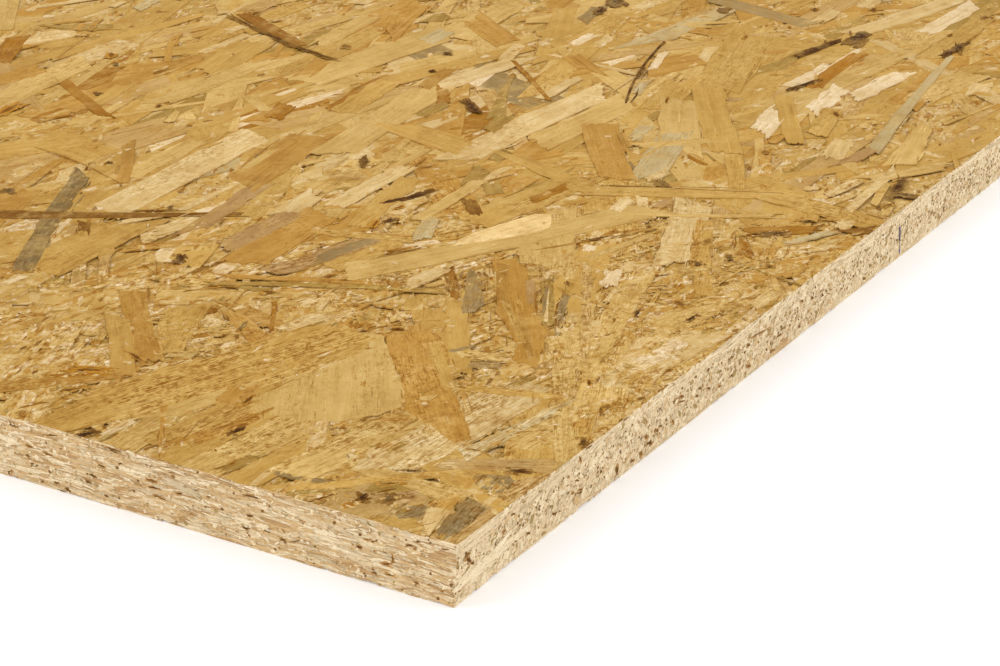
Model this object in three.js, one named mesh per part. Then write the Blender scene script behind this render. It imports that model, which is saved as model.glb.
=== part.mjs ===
// A full sheet of oriented strand board (OSB), lying flat.
//
// The real sheet is one piece: strands of wood hot-pressed with resin into a single slab and then
// sawn to size on all four sides. So it is one solid, with two flat pressed faces and square sawn
// edges. A saw leaves no true knife edge on strand board: the outermost fibres of every arris break
// away, which shows as a narrow flat all round.
//
// Units are millimetres and +Z is up. The origin is the centre of the underside. X runs along the
// sheet, the way that the strands of its two faces lie, and Y runs across it.

import * as THREE from 'three';

const LENGTH = 2440; // along X
const WIDTH = 1220; // along Y
const THICKNESS = 18; // along Z
const ARRIS = 0.4; // how far the broken arris reaches back from each edge, and down each face

// The outline of the sheet seen from above, with its four upright corners broken by `cut`.
function sheetOutline(length, width, cut) {
  const x = length / 2;
  const y = width / 2;
  return new THREE.Shape([
    new THREE.Vector2(-x + cut, -y),
    new THREE.Vector2(x - cut, -y),
    new THREE.Vector2(x, -y + cut),
    new THREE.Vector2(x, y - cut),
    new THREE.Vector2(x - cut, y),
    new THREE.Vector2(-x + cut, y),
    new THREE.Vector2(-x, y - cut),
    new THREE.Vector2(-x, -y + cut),
  ]);
}

// The slab: its outline pulled up through the thickness, with the arrises of both faces broken.
function slabGeometry(length, width, thickness, arris) {
  const geometry = new THREE.ExtrudeGeometry(sheetOutline(length, width, arris), {
    depth: thickness - 2 * arris,
    steps: 1,
    bevelEnabled: true,
    bevelSegments: 1,
    bevelThickness: arris,
    bevelSize: arris,
    bevelOffset: -arris,
  });
  geometry.translate(0, 0, arris);
  return geometry;
}

const osb = new THREE.MeshStandardMaterial({ color: 0xc9a468, roughness: 0.62, metalness: 0 });

const panel = new THREE.Mesh(slabGeometry(LENGTH, WIDTH, THICKNESS, ARRIS), osb);
panel.name = 'osb_panel';

const group = new THREE.Group();
group.add(panel);

export default group;
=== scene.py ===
"""A full sheet of oriented strand board, laid flat: the finish of its faces and sawn edges.

The board is a mat of flat wood strands, so it is made as one. Each strand is a closed flake of its
own, a fraction of a millimetre thick, laid over the ones before it, and the faces and the sawn
edges are mosaics of such flakes over a plain core. Lengths on the board are in millimetres, measured
along each side from its own corner, and become metres when a mesh is made.
"""

import math
from collections import namedtuple

import bpy
import numpy as np
from mathutils import Matrix, Vector


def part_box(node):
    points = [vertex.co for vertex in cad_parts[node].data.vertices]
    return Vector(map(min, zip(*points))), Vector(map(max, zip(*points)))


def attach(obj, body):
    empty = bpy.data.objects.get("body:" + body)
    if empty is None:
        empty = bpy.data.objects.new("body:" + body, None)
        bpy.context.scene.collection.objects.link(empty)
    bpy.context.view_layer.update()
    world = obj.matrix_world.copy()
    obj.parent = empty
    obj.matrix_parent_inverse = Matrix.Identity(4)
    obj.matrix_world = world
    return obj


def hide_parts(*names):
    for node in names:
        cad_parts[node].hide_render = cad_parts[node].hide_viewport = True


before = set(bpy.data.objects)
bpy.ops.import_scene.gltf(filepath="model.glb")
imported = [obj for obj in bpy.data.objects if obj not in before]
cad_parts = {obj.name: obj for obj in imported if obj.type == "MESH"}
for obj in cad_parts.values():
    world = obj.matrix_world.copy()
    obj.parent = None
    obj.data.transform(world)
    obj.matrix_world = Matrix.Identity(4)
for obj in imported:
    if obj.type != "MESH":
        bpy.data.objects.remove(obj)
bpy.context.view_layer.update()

MM = 0.001

LOW, HIGH = (np.array(corner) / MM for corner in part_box("osb_panel"))
LENGTH, WIDTH, THICKNESS = HIGH - LOW

ARRIS = 0.35  # how far the faces' strands stop short of the sawn edges
SAW_RIM = 0.06  # how far the flakes of a sawn edge stop short of its own outline
FACE_DEPTH = 1.0  # how deep below a face its lowest strands lie
EDGE_DEPTH = 0.25  # the same on the sawn edges
BLOCK_GAP = 0.05  # how far under those the plain block begins
TILE = 610  # the board is made in square tiles of this side, each a piece
VIEW_REACH = (620, 400)  # the stretch of the top, from the near corner, that is seen close up
CLOSE_REACH = (260, 200)  # the part of it that is seen closest
SQUARE_DM = 1e4  # a square decimetre, in square millimetres


# ---- the six sides of the board

# a and b are a side's own axes, and out is its outward normal. length is along a, height along b.
Side = namedtuple("Side", "name origin a b out length height")


def side(name, corner, a, b, length, height):
    """A side of the board, with its outward normal worked out from its axes."""
    a, b = np.array(a, float), np.array(b, float)
    return Side(name, np.array(corner, float), a, b, np.cross(a, b), length, height)


X0, Y0, Z0 = LOW
X1, Y1, Z1 = HIGH
TOP = side("top", (X0, Y0, Z1), (1, 0, 0), (0, 1, 0), LENGTH, WIDTH)
UNDER = side("under", (X0, Y1, Z0), (1, 0, 0), (0, -1, 0), LENGTH, WIDTH)
FRONT = side("front", (X0, Y0, Z0), (1, 0, 0), (0, 0, 1), LENGTH, THICKNESS)
BACK = side("back", (X1, Y1, Z0), (-1, 0, 0), (0, 0, 1), LENGTH, THICKNESS)
LEFT = side("left", (X0, Y1, Z0), (0, -1, 0), (0, 0, 1), WIDTH, THICKNESS)
RIGHT = side("right", (X1, Y0, Z0), (0, 1, 0), (0, 0, 1), WIDTH, THICKNESS)


# ---- colours of wood, as seen (sRGB)

def linear(red, green, blue):
    """A colour seen on a screen, 0 to 255, as the linear values that Blender works in."""
    c = np.array((red, green, blue)) / 255
    return np.where(c <= 0.04045, c / 12.92, ((c + 0.055) / 1.055) ** 2.4)


HONEY = linear(198, 155, 78)
STRAW = linear(208, 170, 98)
TAN = linear(196, 156, 92)
PALE = linear(218, 185, 124)
# partly pale wood, partly painted sheen: the satin glints of smooth strands and raised fibres
CREAM = linear(231, 203, 155)
AMBER = linear(189, 140, 62)
GINGER = linear(178, 130, 54)
RUST = linear(162, 108, 28)
OLIVE = linear(166, 131, 62)
ASH = linear(195, 170, 118)
MAUVE = linear(176, 136, 81)
GREY = linear(152, 124, 76)
UMBER = linear(132, 86, 22)
# the dark of bark, also used for the painted shade in hollows and voids
BARK = linear(84, 49, 8)

SAWN_PALE = linear(240, 219, 181)
SAWN = linear(227, 202, 161)
SAWN_TAN = linear(212, 178, 128)
SAWN_GREY = linear(210, 188, 150)
SAWN_BROWN = linear(190, 152, 104)
SAWN_RUST = linear(160, 116, 60)
SAWN_OLIVE = linear(172, 144, 92)
# the dark of pits and pores on the sawn edges, partly painted shade
SAWN_DARK = linear(122, 84, 36)
SAWN_PORE = linear(132, 94, 50)
INK = linear(70, 74, 104)

# What flakes are coloured by: lists of (colour, how common it is).
FACE_TONES = [
    (HONEY, 40), (STRAW, 26), (TAN, 12), (PALE, 8), (CREAM, 1), (AMBER, 15), (RUST, 2), (OLIVE, 4),
    (ASH, 1), (GREY, 1),
]
SCRAP_TONES = [
    (HONEY, 24), (STRAW, 24), (TAN, 8), (PALE, 18), (CREAM, 3), (AMBER, 18), (RUST, 3), (OLIVE, 4),
    (MAUVE, 2),
]
FIBRE_TONES = [(HONEY, 22), (STRAW, 24), (PALE, 20), (CREAM, 9), (AMBER, 20), (RUST, 8), (UMBER, 3)]
SLIVER_TONES = [(HONEY, 30), (STRAW, 26), (PALE, 14), (CREAM, 2), (AMBER, 22), (RUST, 3)]
# Dark hollows and voids: the bark's own dark, and painted shade for the depth of a hollow.
HOLLOW_TONES = [(BARK, 5), (UMBER, 4)]
CHIP_TONES = [
    (UMBER, 2), (RUST, 5), (OLIVE, 5), (AMBER, 13), (HONEY, 18), (STRAW, 24), (PALE, 25), (CREAM, 8),
]
SKIN_TONES = [(SAWN_PALE, 40), (SAWN, 40), (SAWN_GREY, 20)]
SAWN_TONES = [(SAWN_PALE, 6), (SAWN, 26), (SAWN_TAN, 44), (SAWN_GREY, 4), (SAWN_BROWN, 12)]
END_TONES = [(SAWN_PALE, 42), (SAWN, 36), (SAWN_GREY, 14), (SAWN_TAN, 8), (SAWN_OLIVE, 5)]
FLECK_TONES = [(SAWN_PALE, 40), (SAWN_TAN, 30), (SAWN_GREY, 12), (SAWN_BROWN, 14), (SAWN_DARK, 1)]
# Pits on the sawn edges: tones of the wood, their dark middles and lighter rims painted shade.
PIT_TONES = [(SAWN_DARK, 4), (SAWN_RUST, 2), (SAWN_OLIVE, 6), (SAWN_BROWN, 4)]


def deepened(tones, shades):
    """Tones made lighter or darker, and warmer as they darken, as wood is under resin; this also warms
    the painted shade of rims, gaps and hollows.
    """
    return tones * shades[..., None] ** (1.0, 1.25, 1.9)


def drawn(rng, shares, count):
    """That many colours from shares, a list of (colour, how common it is)."""
    weights = np.array([weight for _, weight in shares], float)
    chosen = rng.choice(len(shares), size=count, p=weights / weights.sum())
    return np.array([colour for colour, _ in shares])[chosen]


# ---- outlines of flakes

STRAND_BOW = 0.012  # how far strands bow sideways, as a share of their length
SPLINTER_BOW = 0.02  # the same for splinters


def strand_outlines(rng, lengths, widths, end_widths, steps, teeth, torn):
    """Outlines of strands about their middles, with x along the grain.

    Their split sides have that many steps, and their ends that many teeth, which reach out or in by
    up to torn.
    """
    count = len(lengths)
    along = np.linspace(-1, 1, steps)
    half_width = (widths[:, None] * (1 - along) + end_widths[:, None] * (1 + along)) / 4
    bend = (rng.normal(0, STRAND_BOW, count) * lengths)[:, None] * (1 - along**2)
    ragged = np.minimum(0.04 * widths, 0.35)[:, None]
    sides = []
    for sign in (-1, 1):
        x = lengths[:, None] / 2 * along
        y = bend + sign * half_width + rng.normal(0, 1, (count, steps)) * ragged
        sides.append(np.stack([x, y], 2)[:, ::-sign])
    parts = []
    room = -0.7 * lengths[:, None] / (steps - 1)
    for sign, start, stop in ((1, sides[0], sides[1]), (-1, sides[1], sides[0])):
        share = np.linspace(0, 1, teeth + 2)
        y = start[:, -1:, 1] + (stop[:, :1, 1] - start[:, -1:, 1]) * share
        slant = rng.normal(0, 1.0, (count, 1)) * (y - y.mean(1, keepdims=True))
        reach = np.maximum(rng.uniform(-1, 1, y.shape) * torn[:, None] + slant, room)
        end = np.stack([sign * (lengths[:, None] / 2 + reach), y], 2)
        start[:, -1], stop[:, 0] = end[:, 0], end[:, -1]
        parts.append(end[:, 1:-1])
    return np.concatenate([sides[0], parts[0], sides[1], parts[1]], 1)


def splinter_outlines(rng, lengths, widths, steps):
    """Outlines of splinters: widest near the middle and drawn out to a point at both ends."""
    count = len(lengths)
    along = np.linspace(-1, 1, steps)
    x = lengths[:, None] / 2 * along
    swell = np.cos(along * 1.45) ** 0.6 * widths[:, None] / 2
    bend = (rng.normal(0, SPLINTER_BOW, count) * lengths)[:, None] * (1 - along**2)
    upper = bend + swell * rng.uniform(0.7, 1.3, (count, steps))
    lower = bend - swell * rng.uniform(0.7, 1.3, (count, steps))
    return np.concatenate([np.stack([x, lower], 2), np.stack([x, upper], 2)[:, ::-1]], 1)


def chip_outlines(rng, lengths, widths, corners):
    """Outlines of broken chips, as uneven polygons."""
    size = (len(lengths), corners)
    turn = (np.arange(corners) + rng.uniform(-0.3, 0.3, size)) / corners * 2 * math.pi
    reach = rng.uniform(0.4, 1.15, size) / 2
    x, y = np.cos(turn) * reach * lengths[:, None], np.sin(turn) * reach * widths[:, None]
    return np.stack([x, y], 2)


def clipped(points, low, high):
    """A polygon cut to a rectangle, one side of the rectangle at a time."""
    for axis in (0, 1):
        for limit, sign in ((low[axis], 1), (high[axis], -1)):
            inside = (points[:, axis] - limit) * sign >= 0
            if inside.all():
                continue
            kept = []
            for here, there, here_in, there_in in zip(
                points, np.roll(points, -1, 0), inside, np.roll(inside, -1)
            ):
                if here_in:
                    kept.append(here)
                if here_in != there_in:
                    share = (limit - here[axis]) / (there[axis] - here[axis])
                    kept.append(here + share * (there - here))
            if len(kept) < 3:
                return None
            points = np.array(kept)
    return points


def unit(vectors):
    """The vectors, each with a length of 1."""
    return vectors / np.maximum(np.linalg.norm(vectors, axis=2, keepdims=True), 1e-9)


def inset(points, by):
    """The polygons' corners, each moved inwards by about that much, or less on small or thin ones."""
    after = np.roll(points, -1, 1) - points
    sides = np.linalg.norm(after, axis=2)
    area = 0.5 * abs((points[..., 0] * after[..., 1] - points[..., 1] * after[..., 0]).sum(1))
    room = np.minimum(0.45 * sides.min(1), 0.6 * area / sides.sum(1))
    way = unit(unit(after) + unit(np.roll(after, 1, 1)))
    return points + np.minimum(by, room)[:, None, None] * np.stack([-way[..., 1], way[..., 0]], 2)


def axes(angle):
    """The directions along and across a flake turned that way, as two rows."""
    return np.array([[math.cos(angle), math.sin(angle)], [-math.sin(angle), math.cos(angle)]])


# ---- flakes to a mesh

# How a kind of flake is cut: its thickness, how far its upper face is set in from its lower one, the
# shade painted on its rim, which roughness strengthens (under 1 a painted shadow along its edge, over 1
# a lighter ring round the painted dark of a hollow), how strongly rings and specks mark it, and how torn
# its face is.
Cut = namedtuple("Cut", "thick bevel rim marks torn")
STRAND_CUT = Cut(thick=0.35, bevel=0.15, rim=0.82, marks=0.9, torn=1.0)
SLIVER_CUT = Cut(thick=0.12, bevel=0.06, rim=0.85, marks=0.3, torn=0.0)
CRUMB_CUT = Cut(thick=0.18, bevel=0.1, rim=0.7, marks=0.6, torn=0.0)
HOLLOW_CUT = Cut(thick=0.1, bevel=0.3, rim=1.45, marks=0.0, torn=0.0)
GAP_SHADOW_CUT = Cut(thick=0.3, bevel=0.1, rim=1.0, marks=0.0, torn=0.0)
HAIR_CUT = Cut(thick=0.1, bevel=0.05, rim=0.9, marks=0.3, torn=0.3)
SECTION_CUT = Cut(thick=0.15, bevel=0.06, rim=0.96, marks=0.8, torn=0.0)
PIT_CUT = Cut(thick=0.08, bevel=0.25, rim=1.5, marks=0.0, torn=0.0)

ROUGH_REACH = 420  # how far from the near corner the roughness of the top fades away
LEFT_SHADE_REACH = 110  # how wide the stretch along the left edge is that the painted shade darkens


def roughness(on, middles):
    """How rough the board is there, 0 to 1: its top is torn most near the corner."""
    if on is not TOP:
        return np.full(len(middles), 0.5)
    return np.clip(1.25 - middles @ (1.0, 0.8) / ROUGH_REACH, 0.3, 1)


def painted_left_shade(on, middles):
    """How much painted shade darkens the board there: a little, back along the left edge of its top."""
    if on is not TOP:
        return np.ones(len(middles))
    back = np.clip((middles @ (-0.8, 1.0) - 20) / 100, 0, 1)
    beside_edge = np.clip(2 - middles[:, 0] / LEFT_SHADE_REACH, 0, 1)
    return 1 - 0.13 * back * beside_edge


class FlakeMesh:
    """Closed flakes of wood on one side of the board, which become one mesh."""

    def __init__(self, name, on, depth, rim, low, high):
        self.name, self.on, self.depth = name, on, depth
        self.low, self.high = np.array(low, float), np.array(high, float)
        self.limits = np.array((rim, rim)), np.array((on.length - rim, on.height - rim))
        self.points, self.tones, self.grains, self.marks, self.torn = [], [], [], [], []
        self.flakes = []
        self.count = 0

    def lay(self, outlines, middles, angles, ranks, tones, rng, cut):
        """Lays flakes with these outlines. A flake's rank, from 0 to 1, says how high it lies."""
        turns = np.stack([np.cos(angles), np.sin(angles), -np.sin(angles), np.cos(angles)], 1)
        turns = turns.reshape(-1, 2, 2)
        flat = outlines @ turns + middles[:, None]
        low, high = self.limits
        whole = ((flat >= low) & (flat <= high)).all((1, 2))
        self.add(flat[whole], middles[whole], turns[whole], ranks[whole], tones[whole], rng, cut)
        partly = ((flat.max(1) > low) & (flat.min(1) < high)).all(1) & ~whole
        for i in np.flatnonzero(partly):
            rest = clipped(flat[i], low, high)
            if rest is not None:
                one = slice(i, i + 1)
                self.add(rest[None], middles[one], turns[one], ranks[one], tones[one], rng, cut)

    def add(self, flat, middles, turns, ranks, tones, rng, cut):
        """Adds flakes that all have the same number of corners, placed and trimmed."""
        count, n = flat.shape[:2]
        if not count:
            return
        both = np.concatenate([flat, np.clip(inset(flat, cut.bevel), *self.limits)], 1)
        heights = -self.depth * (1 - ranks[:, None]) - np.repeat([cut.thick, 0.0], n)
        on = self.on
        points = on.origin + both[..., :1] * on.a + both[..., 1:] * on.b + heights[..., None] * on.out
        local = (both - middles[:, None]) @ turns.transpose(0, 2, 1)
        seeds = np.broadcast_to(rng.uniform(0, 900, (count, 1, 1)), (count, 2 * n, 1))
        along = local[..., 0]
        fade = 1 + rng.normal(0, 0.07, (count, 1)) * along / (abs(along).max(1) + 1)[:, None]
        rough = roughness(on, middles)
        # Painted shade at the rims: a shadow under the edges of rough flakes, and on smooth ones, where
        # the power turns negative, a painted light that offsets the shade on their walls.
        power = rng.uniform(-0.4, 2.0, (count, 2 * n)) * (1.6 * rough[:, None] - 0.6)
        # The painted shade back along the left edge of the top is multiplied in here too.
        shade = np.repeat([cut.rim, 1.0], n) ** power * fade * painted_left_shade(on, middles)[:, None]
        self.points.append(points.reshape(-1, 3))
        self.grains.append(np.concatenate([local, seeds], 2).reshape(-1, 3))
        self.tones.append(deepened(tones[:, None], shade).reshape(-1, 3))
        self.marks.append(np.repeat(cut.marks * rough * rng.uniform(0.2, 1.6, count), 2 * n))
        self.torn.append(np.repeat(cut.torn * rough, 2 * n))
        ring = np.arange(n)
        after = np.roll(ring, -1)
        quads = np.stack([ring, after, n + after, n + ring], 1).ravel()
        faces = np.concatenate([ring[::-1], quads, n + ring])
        sizes = np.array([n, *[4] * n, n])
        for i, rank in enumerate(ranks):
            self.flakes.append((rank, self.count + i * 2 * n + faces, sizes))
        self.count += count * 2 * n

    def add_block(self, low, high, tone, torn=0.0):
        """Adds a plain block under the flakes, between two corners given as (a, b, height)."""
        on = self.on
        steps = np.array([(i & 1, i >> 1 & 1, i >> 2) for i in range(8)])
        a, b, height = (low + steps * (np.array(high) - low)).T[..., None]
        self.points.append(on.origin + a * on.a + b * on.b + height * on.out)
        self.grains.append(np.column_stack([a, b, height]))
        self.tones.append(np.tile(tone, (8, 1)))
        self.marks.append(np.zeros(8))
        self.torn.append(np.full(8, torn))
        faces = ((0, 2, 3, 1), (4, 5, 7, 6), (0, 1, 5, 4), (2, 6, 7, 3), (0, 4, 6, 2), (1, 3, 7, 5))
        self.flakes.append((-1.0, self.count + np.array(faces).ravel(), np.full(6, 4)))
        self.count += 8

    def finish(self, material):
        """Makes the mesh, with its colours, grain and bake map, and puts it on the board.

        The faces are in the order of their height, because where several flakes share a place on
        the bake map, the last one holds it.
        """
        self.flakes.sort(key=lambda flake: flake[0])
        points = np.concatenate(self.points)
        corners = np.concatenate([flake[1] for flake in self.flakes]).astype(np.int32)
        sizes = np.concatenate([flake[2] for flake in self.flakes]).astype(np.int32)
        mesh = bpy.data.meshes.new(self.name)
        mesh.vertices.add(len(points))
        mesh.vertices.foreach_set("co", (points * MM).astype(np.float32).ravel())
        mesh.loops.add(len(corners))
        mesh.loops.foreach_set("vertex_index", corners)
        mesh.polygons.add(len(sizes))
        starts = np.concatenate([[0], np.cumsum(sizes)[:-1]]).astype(np.int32)
        mesh.polygons.foreach_set("loop_start", starts)
        mesh.polygons.foreach_set("loop_total", sizes)
        mesh.update(calc_edges=True)
        tones = np.concatenate(self.tones)
        tones = np.column_stack([tones, np.ones(len(tones))])
        for name, kind, key, values in (
            ("tone", "FLOAT_COLOR", "color", tones),
            ("grain", "FLOAT_VECTOR", "vector", np.concatenate(self.grains)),
            ("marks", "FLOAT", "value", np.concatenate(self.marks)),
            ("torn", "FLOAT", "value", np.concatenate(self.torn)),
        ):
            made = mesh.attributes.new(name, kind, "POINT")
            made.data.foreach_set(key, values.astype(np.float32).ravel())
        flat = (points - self.on.origin) @ np.stack([self.on.a, self.on.b], 1)
        spread = np.clip((flat - self.low) / (self.high - self.low), 0, 1)
        bake = mesh.uv_layers.new(name="OFBake")
        bake.data.foreach_set("uv", spread[corners].astype(np.float32).ravel())
        mesh.shade_flat()
        mesh.materials.append(material)
        piece = bpy.data.objects.new(self.name, mesh)
        bpy.context.scene.collection.objects.link(piece)
        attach(piece, "root")
        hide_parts("osb_panel")
        return piece


# ---- materials

class Nodes:
    """A material's node tree, with a short way to add each kind of node."""

    def __init__(self, name):
        self.material = bpy.data.materials.new(name)
        self.material.use_nodes = True
        self.tree = self.material.node_tree
        self.shader = self.tree.nodes["Principled BSDF"]

    def node(self, kind, inputs=(), **settings):
        """A new node. Each of its inputs is a value or another node's output."""
        made = self.tree.nodes.new("ShaderNode" + kind)
        for key, value in settings.items():
            setattr(made, key, value)
        for key, value in dict(inputs).items():
            if isinstance(value, bpy.types.NodeSocket):
                self.tree.links.new(value, made.inputs[key])
            else:
                made.inputs[key].default_value = value
        return made

    def attribute(self, name, output="Vector"):
        return self.node("Attribute", attribute_name=name).outputs[output]

    def math(self, operation, a, b=0.0):
        return self.node("Math", {0: a, 1: b}, operation=operation).outputs[0]

    def times(self, a, b):
        return self.math("MULTIPLY", a, b)

    def noise(self, vector, scale, detail=2.0, roughness=0.5):
        """Noise at a scale for each axis, in cycles to the vector's own unit."""
        stretched = self.node("VectorMath", {0: vector, 1: scale}, operation="MULTIPLY").outputs[0]
        inputs = {"Vector": stretched, "Scale": 1.0, "Detail": detail, "Roughness": roughness}
        return self.node("TexNoise", inputs).outputs["Fac"]

    def spread(self, value, low, high, to_low=0.0, to_high=1.0):
        """value from low to high, spread over to_low to to_high."""
        inputs = {0: value, 1: low, 2: high, 3: to_low, 4: to_high}
        return self.node("MapRange", inputs).outputs[0]

    def blend(self, share, a, b):
        return self.node("Mix", {0: share, 6: a, 7: b}, data_type="RGBA").outputs[2]

    def scaled(self, colour, value):
        """A colour made lighter or darker."""
        return self.node("VectorMath", {0: colour, "Scale": value}, operation="SCALE").outputs[0]

    def total(self, start, *parts):
        """start, plus each (value, weight), where a value of a half adds nothing."""
        for value, weight in parts:
            part = self.times(self.math("SUBTRACT", value, 0.5), weight)
            start = self.math("ADD", start, part)
        return start

    def stained(self, colour, share, dark, light):
        """A colour as it is where share is a half, and times dark at 0 and times light at 1."""
        ramp = self.node("ValToRGB", {0: share})
        stops = ramp.color_ramp.elements
        stops[0].color, stops[1].color = rgba(np.array(dark) / 2), rgba(np.array(light) / 2)
        stops.new(0.5).color = (0.5, 0.5, 0.5, 1.0)
        twice = self.scaled(ramp.outputs[0], 2.0)
        return self.node("VectorMath", {0: colour, 1: twice}, operation="MULTIPLY").outputs[0]

    def picked(self, value, shares):
        """The colour that a random value picks from shares, a list of (colour, how common it is)."""
        ramp = self.node("ValToRGB", {0: value})
        ramp.color_ramp.interpolation = "CONSTANT"
        stops = ramp.color_ramp.elements
        stops.remove(stops[1])
        passed, whole = 0.0, sum(weight for _, weight in shares)
        for i, (colour, weight) in enumerate(shares):
            stop = stops.new(passed) if i else stops[0]
            stop.color = rgba(colour)
            passed += weight / whole
        return ramp.outputs[0]

    def chips(self, place, angle, size):
        """Chips of about that size, turned that way: two random values for each, and its rim."""
        turn = self.node("VectorRotate", {"Vector": place, "Angle": angle}, rotation_type="Z_AXIS")
        per_chip = {0: turn.outputs[0], 1: [1 / length for length in size]}
        cells = self.node("VectorMath", per_chip, operation="MULTIPLY").outputs[0]
        warp = self.node("TexNoise", {"Vector": cells, "Scale": 1.3, "Detail": 3.0}).outputs["Color"]
        moved = self.node("VectorMath", {0: warp, 1: cells}, operation="ADD").outputs[0]
        inputs = {"Vector": moved, "Scale": 1.0}
        cell = self.node("SeparateXYZ", {0: self.node("TexVoronoi", inputs).outputs["Color"]})
        rim = self.node("TexVoronoi", inputs, feature="DISTANCE_TO_EDGE").outputs["Distance"]
        return cell.outputs[0], cell.outputs[1], rim

    def link(self, socket, output):
        """Leads an output to that socket of the material's shader."""
        self.tree.links.new(output, self.shader.inputs[socket])

    def bump(self, height, strength, distance):
        inputs = {"Strength": strength, "Distance": distance, "Height": height}
        self.link("Normal", self.node("Bump", inputs).outputs[0])


def rgba(colour):
    """A colour as Blender's sockets take it."""
    return (*map(float, colour), 1.0)


def face_material():
    """Pressed strands under a thin skin of resin and wax: grain, blotches, chips and a soft gloss."""
    m = Nodes("osb_face")
    tone, grain = m.attribute("tone", "Color"), m.attribute("grain")
    marks, torn = m.attribute("marks", "Fac"), m.attribute("torn", "Fac")
    place = m.node("TexCoord").outputs["Object"]

    # The grain of each strand: broad bands, fine fibres, and the thin dark lines of its growth rings.
    broad = m.noise(grain, (0.02, 0.4, 1.0), 3.0, 0.6)
    fibre = m.noise(grain, (0.14, 1.6, 1.0), 4.0, 0.75)
    rings = m.noise(grain, (0.012, 0.3, 1.0), 1.0, 0.4)
    ring = m.spread(m.math("PINGPONG", m.times(rings, 10.0), 0.5), 0.0, 0.16, 1.0, 0.0)
    ring = m.times(ring, m.spread(marks, 0.5, 1.4, 0.0, 0.25))

    # What lies over all of them alike: resin in blotches, and the mottle that the press left.
    blotch = m.noise(place, (55.0, 80.0, 50.0), 3.0, 0.6)
    mottle = m.noise(place, (380.0, 520.0, 300.0), 3.0, 0.7)
    patchy = m.spread(m.noise(grain, (0.03, 0.1, 1.0), 2.0, 0.6), 0.38, 0.62, 0.45, 1.55)
    fine = m.times(m.spread(marks, 0.1, 0.8, 0.2, 1.7), patchy)

    # Short dark flecks that follow the grain loosely and lie in clusters.
    fleck = m.noise(grain, (0.5, 1.5, 1.0), 2.0, 0.6)
    fleck = m.spread(m.total(fleck, (blotch, 0.3), (mottle, 0.5)), 0.58, 0.75)
    fleck = m.times(m.times(fleck, patchy), m.spread(marks, 0.0, 1.2, 0.2, 0.5))

    # All of them together: how light the wood is there, where a half leaves its tone as it is.
    share = m.total(0.5, (broad, 0.44), (blotch, 0.55))
    fine = m.times(fine, m.total(0.0, (fibre, 1.0), (mottle, 1.05)))
    share = m.math("ADD", share, fine)
    share = m.math("SUBTRACT", share, m.math("ADD", ring, fleck))

    # A wash of resin takes the strands' own tones together in places, and hides where they meet.
    veil = m.noise(place, (100.0, 150.0, 90.0), 4.0, 0.75)
    paler = m.spread(m.noise(place, (35.0, 60.0, 30.0), 2.0), 0.4, 0.6)
    wash = m.blend(paler, rgba(AMBER * 0.91), rgba(STRAW * 1.1))
    veil = m.spread(veil, 0.44, 0.62, 0.0, 0.65)
    veil = m.times(veil, m.spread(torn, 0.1, 0.9, 0.6, 0.9))
    colour = m.blend(veil, tone, wash)

    # Where the face is torn, chips of every tone show in patches: long ones, and shorter ones with a
    # painted shadow line at their rims.
    for angle, size, patches, shadow in (
        (0.12, (0.016, 0.0022, 0.01), 45.0, 0.0),
        (0.5, (0.0060, 0.0020, 0.01), 70.0, 0.25),
        (-0.35, (0.0035, 0.0012, 0.01), 90.0, 0.25),
    ):
        one, other, rim = m.chips(place, angle, size)
        where = m.total(m.noise(place, (patches,) * 3, 3.0, 0.6), (other, 0.25))
        where = m.math("ADD", where, m.spread(m.math("POWER", torn, 0.75), 0.0, 1.0, -0.31, 0.04))
        where = m.spread(where, 0.5, 0.53)
        colour = m.blend(m.times(where, 0.8), colour, m.picked(one, CHIP_TONES))
        if shadow:
            line = m.spread(rim, 0.0, 0.12, shadow, 0.0)
            line = m.times(line, m.times(where, one))
            share = m.math("SUBTRACT", share, line)

    m.link("Base Color", m.stained(colour, share, (0.5, 0.34, 0.12), (1.28, 1.47, 2.1)))
    m.link("Roughness", m.spread(broad, 0.3, 0.7, 0.7, 0.5))
    relief = m.total(0.0, (fibre, 0.6), (mottle, 1.0), (broad, 1.0))
    m.bump(relief, strength=0.6, distance=0.4 * MM)
    m.shader.inputs["Specular IOR Level"].default_value = 0.03
    return m.material


def sawn_material():
    """Bare sawn wood, pale and matt: fine streaks along the edge, grit, and the pores of cut ends."""
    m = Nodes("osb_sawn")
    tone, grain, marks = m.attribute("tone", "Color"), m.attribute("grain"), m.attribute("marks", "Fac")
    place = m.node("TexCoord").outputs["Object"]
    streak = m.noise(grain, (0.35, 2.2, 1.0), 3.0, 0.6)
    grit = m.noise(place, (1100.0, 1100.0, 1500.0), 3.0, 0.65)
    light = m.spread(streak, 0.3, 0.7, 0.88, 1.08)
    light = m.times(light, m.spread(grit, 0.3, 0.7, 0.84, 1.1))
    # Painted shade: where the pit noise peaks, pores darken toward SAWN_PORE, with a bump, in place of
    # real holes.
    pit = m.noise(place, (700.0, 700.0, 1000.0), 1.0, 0.5)
    dark = m.times(m.spread(pit, 0.6, 0.72, 0.0, 0.8), marks)
    m.link("Base Color", m.blend(dark, m.scaled(tone, light), rgba(SAWN_PORE)))
    m.shader.inputs["Roughness"].default_value = 0.9
    m.bump(m.math("SUBTRACT", m.times(grit, 0.5), dark), strength=0.5, distance=0.3 * MM)
    m.shader.inputs["Specular IOR Level"].default_value = 0.15
    return m.material


# ---- the faces

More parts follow.
